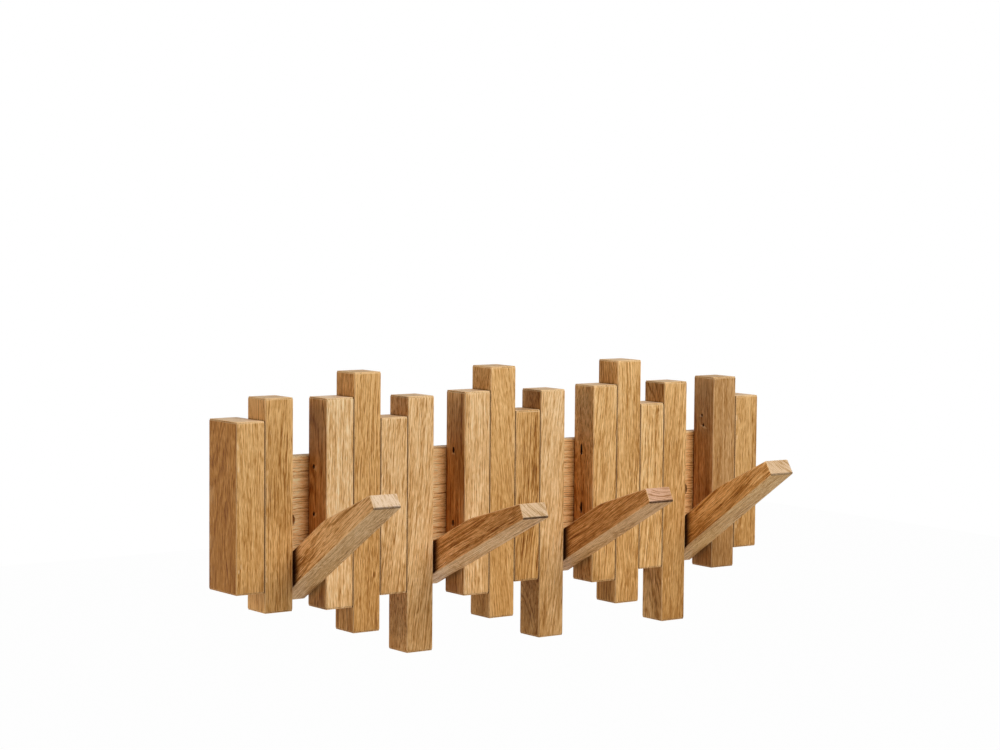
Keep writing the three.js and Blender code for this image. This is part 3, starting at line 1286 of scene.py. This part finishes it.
@dataclass
class Backboard(Planed):
    """The board behind the row, with its screw holes, dowel holes and two wall screw holes."""

    wall_hole_radius: float = 3.25
    recess_radius: float = 5.6
    recess_depth: float = 8.0
    rim_radius: float = 0.5
    rim_steps: int = 6
    wall_hole_x: float = 196.875
    countersink_radius: float = 4.1
    countersink_depth: float = 2.4
    head_recess: float = 0.5
    shank_radius: float = 2.3
    dowel_radius: float = 4.3
    dowel_inset: float = 10.0
    dowel_depth: float = 18.3
    overshoot: float = 1.0

    def build(self, shop: Workshop, screw_nodes: list[str]) -> bpy.types.Object:
        """Makes the board and dresses it.

        Args:
            shop: The workshop.
            screw_nodes: The screws whose holes the board has.

        Returns:
            The board.
        """
        low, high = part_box("backboard")
        bores = tuple((0.0, side * self.wall_hole_x, self.recess_radius) for side in (-1, 1))
        oak = replace(self.oak, bores=bores)
        piece, material, timber = self.plane(shop, oak, Euler((0.0, math.pi / 2, 0.0)))
        shop.cut(piece, self._holes(low, high, screw_nodes))
        shop.finish(piece, "row", "oak_board", ["backboard"], material, timber)
        return piece

    def _holes(self, low: Vector, high: Vector, screw_nodes: list[str]) -> bmesh.types.BMesh:
        """Makes the cutters of all the board's holes.

        Args:
            low: The board's lowest corner.
            high: Its highest corner.
            screw_nodes: The screws whose holes the board has.

        Returns:
            The cutters.
        """
        holes = bmesh.new()
        thickness = (high.y - low.y) / MM
        wall = self._wall_hole(thickness)
        for side in (-1, 1):
            turned(holes, wall, along("Y", (side * self.wall_hole_x * MM, low.y, 0.0)), 48)
        seat = thickness - self.head_recess
        back = thickness + self.overshoot
        screw = [
            (0.0, -self.overshoot),
            (self.shank_radius, -self.overshoot),
            (self.shank_radius, seat - self.countersink_depth),
            (self.countersink_radius, seat),
            (self.countersink_radius, back),
            (0.0, back),
        ]
        for node in screw_nodes:
            first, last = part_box(node)
            turned(holes, screw, along("Y", ((first.x + last.x) / 2, low.y, 0.0)), 32)
        for side, edge in ((-1, low.x), (1, high.x)):
            for z in (low.z + self.dowel_inset * MM, high.z - self.dowel_inset * MM):
                start, end = sorted((side * self.overshoot, -side * self.dowel_depth))
                place = along("X", (edge, (low.y + high.y) / 2, z))
                turned(holes, rod(self.dowel_radius, start, end), place, 24)
        return holes

    def _wall_hole(self, thickness: float) -> Profile:
        """Gives the profile of a wall screw's hole, from the board's front to past its back.

        Args:
            thickness: The board's thickness, in millimetres.

        Returns:
            The profile.
        """
        profile = [(0.0, -self.overshoot), (self.recess_radius + self.rim_radius, -self.overshoot)]
        for step in range(self.rim_steps + 1):
            angle = math.pi / 2 * (1 - step / self.rim_steps)
            radius = self.recess_radius + self.rim_radius * (1 - math.cos(angle))
            profile.append((radius, self.rim_radius * (1 - math.sin(angle))))
        back = thickness + self.overshoot
        profile += [(self.recess_radius, self.recess_depth), (self.wall_hole_radius, self.recess_depth)]
        return profile + [(self.wall_hole_radius, back), (0.0, back)]


@dataclass
class Hook:
    """A hook: a tapered stick that folds on a pin through its foot. Its sizes are about the pin.

    The arris is how dark the line along the arris at its tip is.
    """

    number: int
    oak: Oak
    reach: float
    toe_drop: float
    tip_thickness: float
    arris: float
    thickness: float = 23.7
    taper_start: float = 68.0
    bend_radius: float = 60.0
    corner_radius: float = 1.0
    edge_radius: float = 0.8
    board_gap: float = 0.3
    board_edge_radius: float = 1.0
    pin_hole_radius: float = 2.8
    overshoot: float = 1.0
    # The painted shade on the hook beside its neighbours: how far it reaches, and how dark.
    crevice: tuple[float, float] = (8.0, 0.9)
    edge_steps: int = 4
    corner_steps: int = 5
    bend_steps: int = 8

    @property
    def node(self) -> str:
        """Gives the name of the node and of its body."""
        return f"hook_{self.number}"

    def build(self, shop: Workshop, joint: dict) -> bpy.types.Object:
        """Makes the hook folded out, as it is at rest, and dresses it.

        Args:
            shop: The workshop.
            joint: The hook's hinge, from the frame.

        Returns:
            The hook.
        """
        low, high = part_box(self.node)
        board_low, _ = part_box("backboard")
        pivot = Vector(joint["pos_m"])
        turn = math.radians(joint["range_deg"][1])
        corner = Vector((board_low.y - pivot.y, board_low.z - pivot.z)) / MM
        outline = self._outline(turn, corner)
        shape = bmesh.new()
        half_width = (high.x - low.x) / 2
        side = [shape.verts.new((-half_width, y * MM, z * MM)) for y, z in outline]
        face = shape.faces.new(side)
        pushed = bmesh.ops.extrude_face_region(shape, geom=[face])
        ends = [item for item in pushed["geom"] if isinstance(item, bmesh.types.BMVert)]
        bmesh.ops.translate(shape, verts=ends, vec=(2 * half_width, 0.0, 0.0))
        piece = mesh_object(self.node + "_shaped", mesh_from(self.node, shape))
        soften = piece.modifiers.new("soft_edges", "BEVEL")
        soften.width = self.edge_radius * MM
        soften.segments = self.edge_steps
        soften.limit_method = "ANGLE"
        soften.angle_limit = shop.smooth_angle
        shop.settle(piece)
        holes = bmesh.new()
        reach = half_width / MM + self.overshoot
        turned(holes, rod(self.pin_hole_radius, -reach, reach), along("X", ORIGIN), 32)
        shop.cut(piece, holes)
        piece.data.transform(Matrix.Translation(pivot) @ Matrix.Rotation(turn, 4, "X"))
        timber = Timber(pivot, Euler((turn, 0.0, 0.0)))
        arris = (-self.thickness / 2, self.reach, self.arris)
        oak = replace(self.oak, dark_arris=arris, crevice=self.crevice, toasted_foot=0.0)
        material = OakTree(oak, self.node + "_oak", timber).material
        shop.finish(piece, self.node, "oak_hook", [self.node], material, timber)
        return piece

    def _outline(self, turn: float, corner: Vector) -> Profile:
        """Gives the hook's side view, folded shut, as depth and height about the pin.

        Args:
            turn: How far the hook folds out, in radians.
            corner: The board's lower front corner from the pin, in millimetres.

        Returns:
            The outline, anticlockwise.
        """
        heel = self.thickness / 2
        edge = corner + Vector((self.board_edge_radius, self.board_edge_radius))
        edge.rotate(Matrix.Rotation(-turn, 2))
        clearance = self.board_edge_radius + self.board_gap
        from_toe = edge - Vector((-heel, -self.toe_drop))
        through = math.atan2(from_toe.y, from_toe.x) + math.asin(clearance / from_toe.length)
        outward = max(through, math.pi / 2 - turn) - math.pi / 2
        distance = edge.dot(Vector((math.cos(outward), math.sin(outward)))) - clearance
        heel_height = (distance - heel * math.cos(outward)) / math.sin(outward)
        toe_height = (distance + heel * math.cos(outward)) / math.sin(outward)
        corners = [
            (Vector((heel, heel_height)), max(self.corner_radius, heel_height / math.tan(outward / 2))),
            (Vector((heel, self.taper_start)), self.bend_radius),
            (Vector((self.tip_thickness - heel, self.reach)), self.corner_radius),
            (Vector((-heel, self.reach)), self.corner_radius),
            (Vector((-heel, toe_height)), self.corner_radius),
        ]
        return self._rounded(corners)

    def _rounded(self, corners: list[tuple[Vector, float]]) -> Profile:
        """Rounds an outline's corners.

        Args:
            corners: Each corner and its radius, anticlockwise.

        Returns:
            The outline, in short straight steps.
        """
        outline: Profile = []
        for index, (corner, radius) in enumerate(corners):
            back = (corners[index - 1][0] - corner).normalized()
            ahead = (corners[(index + 1) % len(corners)][0] - corner).normalized()
            half = back.angle(ahead) / 2
            centre = corner + (back + ahead).normalized() * (radius / math.sin(half))
            start = corner + back * (radius / math.tan(half)) - centre
            sweep = math.pi - 2 * half
            steps = self.bend_steps if radius > 2 * self.corner_radius else self.corner_steps
            for step in range(steps + 1):
                angle = sweep * step / steps
                cos, sin = math.cos(angle), math.sin(angle)
                outline.append((centre.x + start.x * cos - start.y * sin,
                                centre.y + start.x * sin + start.y * cos))
        return outline


@dataclass
class Fixings:
    """The screws, dowels, pins and spacers, each made once and set where the frame has them."""

    head_radius: float = 3.8
    head_height: float = 2.4
    head_edge: float = 0.3
    drive_radii: tuple[float, float] = (1.6, 0.9)
    drive_depths: tuple[float, float] = (1.5, 1.7)
    shank_radius: float = 1.6
    neck_length: float = 6.0
    neck_swell: float = 0.2
    unthreaded: float = 7.0
    thread_radius: float = 2.0
    thread_pitch: float = 1.7
    thread_foot: float = 0.9
    thread_crest: float = 1.25
    first_thread: float = 0.6
    point_length: float = 4.0
    point_radius: float = 0.25
    pin_radius: float = 2.5
    pin_chamfer: float = 0.5
    spacer_radius: float = 6.0
    spacer_bore: float = 2.8
    spacer_chamfer: float = 0.35
    dowel_radius: float = 4.0
    dowel_chamfer: float = 1.0
    sides: int = 32

    def build(self, shop: Workshop, nodes: list[str]) -> None:
        """Makes and sets all the fixings.

        Args:
            shop: The workshop.
            nodes: The names of all the frame's nodes.
        """
        zinc = Metal("zinc_plate", shade(214, 208, 182), 0.3, 0.14).material()
        steel = Metal("bright_steel", shade(190, 193, 196), 0.24, 0.1).material()
        nylon = Moulded("black_nylon", shade(38, 36, 35), 0.5).material()
        pin = self._rod("pivot_pin_1", self.pin_radius, self.pin_chamfer)
        dowel = self._rod("dowel_left_lower", self.dowel_radius, self.dowel_chamfer)
        kinds = [
            ("screw_", "screws", "zinc_screw", self._screw(), zinc),
            ("pivot_pin_", "pivot_pins", "steel_pin", pin, steel),
            ("spacer_", "spacers", "nylon_spacer", self._spacer(), nylon),
            ("dowel_", "dowels", "beech_dowel", dowel, Beech().material()),
        ]
        for prefix, name, slot, mesh, finish in kinds:
            members = [node for node in nodes if node.startswith(prefix)]
            pattern = mesh_object(name + "_pattern", mesh)
            places = bpy.data.meshes.new(name)
            places.from_pydata([self._middle(node) for node in members], [], [])
            piece = mesh_object(name, places)
            shop.set_on_points.put_on(piece, {"Piece": pattern, "Finish": finish})
            shop.settle(piece)
            bpy.data.objects.remove(pattern)
            shop.finish(piece, "row", slot, members, finish)

    def _middle(self, node: str) -> Vector:
        """Gives the middle of a node's box."""
        low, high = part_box(node)
        return (low + high) / 2

    def _screw(self) -> bpy.types.Mesh:
        """Makes a countersunk screw along Y, head at the back, about its middle.

        Returns:
            The mesh.
        """
        half = half_length("screw_02", 1)
        neck = half - self.head_height
        profile = [(0.0, -half), (self.point_radius, -half)]
        for turn in range(int((neck + half - self.unthreaded) / self.thread_pitch)):
            at = self.first_thread - half + turn * self.thread_pitch
            taper = min(1.0, (at + half) / self.point_length)
            profile += [
                (self.shank_radius * taper, at),
                (self.shank_radius * taper, at + self.thread_foot),
                (self.thread_radius * taper, at + self.thread_crest),
            ]
        profile += [
            (self.shank_radius, neck - self.neck_length),
            (self.shank_radius + self.neck_swell, neck),
            (self.head_radius, half - self.head_edge),
            (self.head_radius, half),
            (self.drive_radii[0], half),
            (self.drive_radii[1], half - self.drive_depths[0]),
            (0.0, half - self.drive_depths[1]),
        ]
        return turned_mesh("screw", profile, "Y", 24)

    def _rod(self, node: str, radius: float, chamfer: float) -> bpy.types.Mesh:
        """Makes a chamfered rod along X about its middle.

        Args:
            node: The node whose length it has.
            radius: Its radius.
            chamfer: The chamfer of its ends.

        Returns:
            The mesh.
        """
        half = half_length(node, 0)
        head = [(radius, half - chamfer), (radius - chamfer, half), (0.0, half)]
        foot = [(size, -height) for size, height in reversed(head)]
        return turned_mesh("rod", foot + head, "X", self.sides)

    def _spacer(self) -> bpy.types.Mesh:
        """Makes a spacer ring along X about its middle.

        Returns:
            The mesh.
        """
        half = half_length("spacer_1_left", 0)
        edge = half - self.spacer_chamfer
        narrow = self.spacer_radius - self.spacer_chamfer
        profile = [
            (self.spacer_bore, -half),
            (narrow, -half),
            (self.spacer_radius, -edge),
            (self.spacer_radius, edge),
            (narrow, half),
            (self.spacer_bore, half),
            (self.spacer_bore, -half),
        ]
        return turned_mesh("spacer", profile, "X", 40)


@dataclass
class Brads:
    """The sunk nails in the small holes of the sticks' left faces."""

    radius: float = 0.7
    sunk: float = 1.6
    length: float = 2.1

    def build(self, shop: Workshop, sticks: list[Stick]) -> None:
        """Makes the nails' heads at the bottoms of their holes.

        Args:
            shop: The workshop.
            sticks: The row's sticks.
        """
        shape = bmesh.new()
        profile = rod(self.radius, self.sunk, self.length)
        for stick in sticks:
            low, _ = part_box(stick.node)
            for y, z in stick.brads:
                turned(shape, profile, along("X", (low.x, y * MM, z * MM)), stick.brad_sides)
        piece = mesh_object("brads", mesh_from("brads", shape))
        finish = Metal("blackened_iron", shade(24, 20, 17), 0.75, metallic=0.2).material()
        shop.finish(piece, "row", "steel_pin", [], finish)


def quartered(tone: Tone, seed: int, lean: tuple[float, float], stain: float, **marks: object) -> Oak:
    """Gives quarter-sawn oak, whose front shows straight lines."""
    return Oak(tone, Sawn.QUARTERED, seed, lean, stain, **marks)


def rift(tone: Tone, seed: int, lean: tuple[float, float], stain: float, **marks: object) -> Oak:
    """Gives rift-sawn oak, whose front and sides show much the same lines."""
    return Oak(tone, Sawn.RIFT, seed, lean, stain, **marks)


def row_of_sticks() -> list[Stick]:
    """Chooses the oak of each fixed stick, from left to right, and its painted shade and light.

    Returns:
        The sticks.
    """
    return [
        Stick("end_stick_left", quartered(
            Tone.HONEY, 1, (1.0, 0.0), 0.6, ring=1.3, streaks=0.9, bands=0.6, clouds=0.1, flecks=0.8,
            side_stain=2.6, end_stain=-0.3, bruises=1.0)),
        Stick("stick_02", quartered(
            Tone.HONEY, 2, (-0.5, 0.0), 1.5, streaks=1.3, bands=1.4, flecks=0.5, side_stain=-2.9,
            toasted_side=0.3, end_stain=0.8, bruises=0.5)),
        Stick("stick_04", quartered(
            Tone.STRAW, 3, (0.3, 0.0), -0.25, flecks=0.6, side_stain=3.4, end_stain=-0.6, bruises=0.7,
        ), brads=((-22.9, 41.4), (-23.1, 4.7))),
        Stick("stick_05", rift(
            Tone.HONEY, 4, (-2.0, 0.6), 1.2, streaks=1.3, knots=(Knot(7.0, -56.6, 1.4),),
            side_stain=1.2, toasted_side=0.6, end_stain=1.7)),
        Stick("stick_06", rift(Tone.STRAW, 5, (-5.0, 0.0), 0.55, end_stain=0.6)),
        Stick("stick_07", rift(Tone.STRAW, 6, (-6.0, 0.0), 0.7, side_stain=1.3, end_stain=0.8)),
        Stick("stick_09", quartered(
            Tone.STRAW, 7, (0.5, 0.0), 0.25, clouds=0.7, side_stain=3.25, end_stain=0.2,
        ), brads=((-25.5, 47.5), (-25.4, -10.8)), brad_stretch=2.0),
        Stick("stick_10", rift(
            Tone.HONEY, 8, (6.0, 1.0), 0.6, streaks=0.7, bands=0.7, clouds=0.3, side_stain=0.85,
            toasted_side=0.3, end_stain=1.5)),
        Stick("stick_11", rift(
            Tone.HONEY, 9, (-4.5, 1.0), 1.5, streaks=1.3, bands=2.2, clouds=0.3, end_stain=2.4)),
        Stick("stick_12", quartered(
            Tone.STRAW, 10, (-5.0, 0.0), 0.6, side_stain=2.8, fade=1.0, side_fade=-1.35,
            toasted_side=0.4, end_stain=0.7)),
        Stick("stick_14", rift(
            Tone.HONEY, 11, (-4.0, 0.0), 0.2, side_stain=0.9, end_stain=0.2,
        ), brads=((-25.2, 41.4), (-25.5, -7.0)), brad_stretch=3.8, brad_slant=0.15),
        Stick("stick_15", rift(
            Tone.HONEY, 12, (0.0, 1.2), 0.3, side_stain=1.5, fade=0.3, toasted_side=0.6,
            end_stain=0.3)),
        Stick("stick_16", rift(Tone.HONEY, 13, (-1.8, 0.0), -0.3, knots=(Knot(6.5, 63.5, 0.9),))),
        Stick("stick_17", quartered(
            Tone.HONEY, 14, (-3.0, 0.0), 0.75, side_stain=0.8, fade=1.0, side_fade=-1.3,
            toasted_side=0.5, end_stain=0.7)),
        Stick("stick_19", rift(
            Tone.TAWNY, 15, (-1.0, 0.6), 0.6, streaks=0.7, side_stain=0.1, end_stain=2.3,
        ), brads=((-26.1, 63.8), (-27.9, 55.7)), brad_radius=0.8),
        Stick("end_stick_right", quartered(
            Tone.HONEY, 16, (0.4, 0.0), 0.95, flecks=0.7, bruises=1.0)),
    ]


def row_of_hooks() -> list[Hook]:
    """Chooses the oak and the sizes of each hook, from left to right, and its painted shade.

    Returns:
        The hooks.
    """
    return [
        Hook(1, Oak(
            Tone.FAWN, Sawn.SIDE_FLAT, 21, (0.5, 2.5), 0.45, clouds=0.3, side_stain=-0.3,
            end_stain=-1.0, fade=0.5), reach=133.4, toe_drop=26.2, tip_thickness=11.5, arris=0.8),
        Hook(2, rift(
            Tone.RUSSET, 22, (0.0, 1.5), -0.8, bands=1.5, side_stain=0.9, side_fade=-1.6, fade=-0.6,
            end_rings=1.1), reach=134.4, toe_drop=31.8, tip_thickness=12.3, arris=1.0),
        Hook(3, Oak(
            Tone.RUSSET, Sawn.FLAT, 23, (0.0, 2.0), 0.75, ring=1.2, clouds=0.3, side_stain=2.3,
            fade=0.3, end_tone=Tone.BLUSH, end_rings=1.6, end_stain=-0.2),
            reach=128.1, toe_drop=26.8, tip_thickness=12.4, arris=1.0),
        Hook(4, rift(
            Tone.HONEY, 24, (0.0, 2.0), 0.0, side_stain=2.0, side_fade=0.6, fade=0.5, end_rings=1.2,
            end_stain=-0.1), reach=131.8, toe_drop=21.2, tip_thickness=13.2, arris=0.6),
    ]


def board() -> Backboard:
    """Chooses the oak of the board: coarse lines, rosy and pale, with soft wide painted shade in
    crevices.

    Returns:
        The board.
    """
    oak = rift(
        Tone.ROSY, 31, (0.5, 0.0), -1.6, ring=0.6, streaks=0.3, bands=5.4, fineness=7.5, clouds=0.1,
        flecks=0.0, fade=-0.2, wave=(1.6, 0.1), crevice=(10.0, 0.55), toasted_foot=0.0)
    return Backboard("backboard", oak, edge_radius=1.0, end_radius=1.0, wear=0.3)


@dataclass
class Rack:
    """The whole rack, in the order in which its pieces are built."""

    board: Backboard = field(default_factory=board)
    sticks: list[Stick] = field(default_factory=row_of_sticks)
    hooks: list[Hook] = field(default_factory=row_of_hooks)
    fixings: Fixings = field(default_factory=Fixings)
    brads: Brads = field(default_factory=Brads)

    def build(self, frame: dict) -> None:
        """Builds every piece around the frame.
        """
        shop = Workshop()
        nodes = sorted(frame["nodes"])
        joints = {joint["child"]: joint for joint in frame["joints"]}
        self.board.build(shop, [node for node in nodes if node.startswith("screw_")])
        for stick in self.sticks:
            stick.build(shop)
        for hook in self.hooks:
            hook.build(shop, joints[hook.node])
        self.fixings.build(shop, nodes)
        self.brads.build(shop, self.sticks)


@dataclass
class SoftBox:
    """A square studio lamp that points at the rack."""

    name: str
    place: Point
    size: float
    watts: float
    colour: Colour = (1.0, 1.0, 1.0)

    def build(self, target: Vector) -> None:
        """Hangs the lamp.

        Args:
            target: The point that it is turned towards.
        """
        lamp = bpy.data.lights.new(self.name, "AREA")
        lamp.size = self.size
        lamp.energy = self.watts
        lamp.color = self.colour
        holder = bpy.data.objects.new(self.name, lamp)
        holder.location = self.place
        holder.rotation_euler = (target - holder.location).to_track_quat("-Z", "Y").to_euler()
        bpy.context.scene.collection.objects.link(holder)


@dataclass
class Studio:
    """The plain pale floor, the white surroundings, the lamps and the camera."""

    ambient: float = 0.15
    floor_height: float = -0.5
    floor_size: float = 6.0
    floor_glow: float = 0.985
    floor_bounce: float = 0.15
    lamps: tuple[SoftBox, ...] = (
        SoftBox("key_lamp", (0.15, -1.0, 1.1), 0.8, 18.0),
        SoftBox("left_fill", (-2.4, 0.15, 0.5), 1.0, 13.0, (1.0, 0.86, 0.72)),
    )
    camera_place: Point = (-1.24554, -1.72595, 0.25791)
    camera_heading: float = 36.119
    camera_dip: float = 4.133
    camera_roll: float = 0.498
    lens: float = 94.42

    def build(self) -> None:
        """Sets up everything around the rack."""
        scene = bpy.context.scene
        scene.view_settings.view_transform = "Standard"
        self._world(scene)
        self._floor()
        for lamp in self.lamps:
            lamp.build(Vector(ORIGIN))
        self._camera(scene)
        LOG.info("studio: floor, surroundings, %d lamps and the camera", len(self.lamps))

    def _background(self, graph: Graph) -> Wire:
        """Gives 1 where the camera, a reflection or clear glass looks, and 0 for other light."""
        rays = graph.node("ShaderNodeLightPath", None, None, "Is Camera Ray")
        return rays.most(rays.beside("Is Glossy Ray")).most(rays.beside("Is Transmission Ray"))

    def _world(self, scene: bpy.types.Scene) -> None:
        """Makes white surroundings that light the rack evenly.

        Args:
            scene: The scene.
        """
        scene.world = bpy.data.worlds.new("white_room")
        scene.world.use_nodes = True
        graph = Graph(scene.world.node_tree)
        strength = self._background(graph) * (1 - self.ambient) + self.ambient
        white = {"Color": (1.0, 1.0, 1.0), "Strength": strength}
        light = graph.node("ShaderNodeBackground", None, white)
        graph.node("ShaderNodeOutputWorld", None, {"Surface": light})

    def _floor(self) -> None:
        """Lays the floor, which looks white, keeps the rack's shadow and lights the rack from below."""
        half = self.floor_size / 2
        mesh = bpy.data.meshes.new("floor")
        corners = [(-half, -half), (half, -half), (half, half), (-half, half)]
        mesh.from_pydata([(x, y, self.floor_height) for x, y in corners], [], [(0, 1, 2, 3)])
        floor = mesh_object("floor", mesh)
        graph = MaterialTree("pale_floor")
        seen = self._background(graph)
        paint = graph.node("ShaderNodeBsdfDiffuse", None, {"Color": (0.9, 0.9, 0.9)})
        glow = graph.node("ShaderNodeEmission", None, {"Color": (1.0, 1.0, 1.0), "Strength": 1.0})
        share = seen * (self.floor_glow - self.floor_bounce) + self.floor_bounce
        mixed = graph.node("ShaderNodeMixShader", None, {0: share, 1: paint, 2: glow})
        mesh.materials.append(graph.end(mixed))

    def _camera(self, scene: bpy.types.Scene) -> None:
        """Sets the camera where the photograph was taken from.

        Args:
            scene: The scene.
        """
        lens = bpy.data.cameras.new("photo_camera")
        lens.lens = self.lens
        camera = bpy.data.objects.new("photo_camera", lens)
        heading = Matrix.Rotation(-math.radians(self.camera_heading), 4, "Z")
        dip = Matrix.Rotation(math.radians(90.0 - self.camera_dip), 4, "X")
        roll = Matrix.Rotation(math.radians(self.camera_roll), 4, "Z")
        camera.matrix_world = Matrix.Translation(self.camera_place) @ heading @ dip @ roll
        scene.collection.objects.link(camera)
        scene.camera = camera


def empty_scene() -> None:
    """Removes whatever the start-up file holds."""
    for item in list(bpy.data.objects):
        bpy.data.objects.remove(item)


def main() -> None:
    """Loads the frame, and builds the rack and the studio."""
    logging.basicConfig(level=logging.INFO, format="%(name)s %(message)s")
    empty_scene()
    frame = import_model()
    Rack().build(frame)
    Studio().build()


if __name__ == "__main__":
    main()
